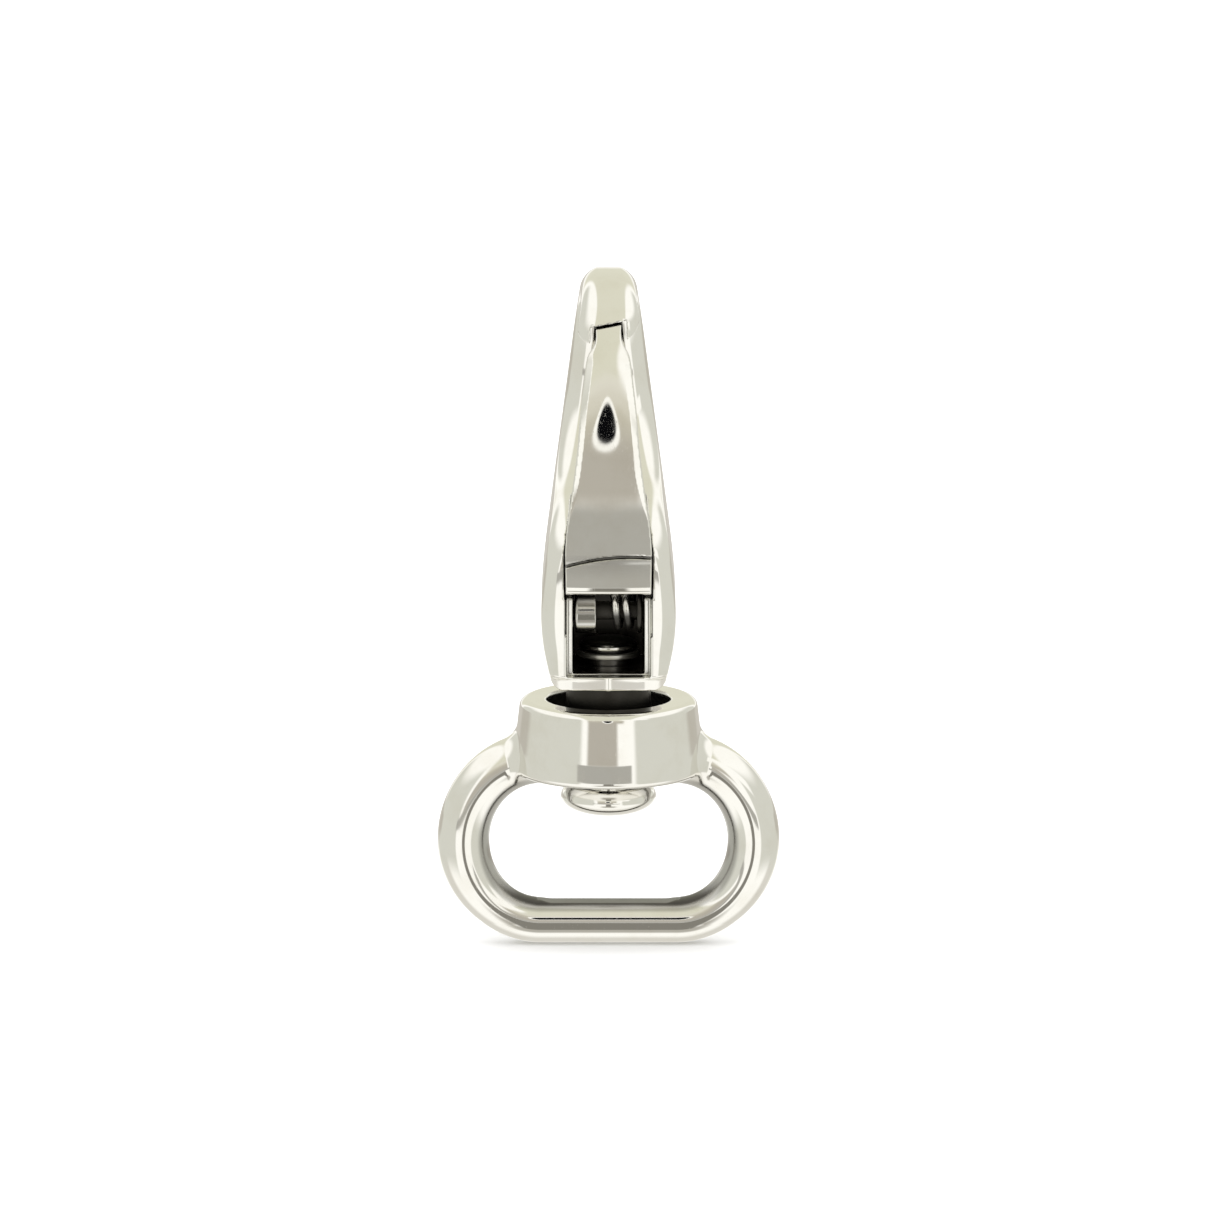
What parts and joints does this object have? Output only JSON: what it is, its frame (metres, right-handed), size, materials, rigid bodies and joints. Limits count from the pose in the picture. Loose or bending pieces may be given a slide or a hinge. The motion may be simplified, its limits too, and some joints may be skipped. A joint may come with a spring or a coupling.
{
  "type": "swivel snap hook",
  "caption": "Polished swivel snap hook with a sprung push gate and an oval eye for flat webbing.",
  "frame": {"origin": "on the swivel axis, at the middle of the flat land that the webbing lies on, inside the lower bar of the strap eye", "axes": "+Z along the swivel axis from the strap eye to the bow of the hook, +X along the width of the strap eye, -Y towards the gate"},
  "size_m": [0.036, 0.0226, 0.0724],
  "materials": {
    "polished_nickel": "polished nickel plate on a zinc casting",
    "bright_steel": "bright drawn steel",
    "spring_steel": "nickel-plated spring wire"
  },
  "bodies": {
    "eye": {"swivel_eye": "polished_nickel"},
    "hook": {"hook_body": "polished_nickel", "swivel_rivet": "polished_nickel", "rivet_washer": "bright_steel", "gate_pin": "bright_steel", "gate_spring": "spring_steel"},
    "gate": {"gate": "polished_nickel"}
  },
  "joints": [
    {"name": "swivel", "type": "hinge", "parent": "eye", "child": "hook", "pos_m": [0, 0, 0], "axis": [0, 0, 1], "continuous": true},
    {"name": "gate_hinge", "type": "hinge", "parent": "hook", "child": "gate", "pos_m": [0, -0.0042, 0.03225], "axis": [-1, 0, 0], "range_deg": [0, 17], "stiffness_Nm_per_rad": 0.12, "springref_deg": -20.05, "deforming": ["gate_spring"]}
  ]
}
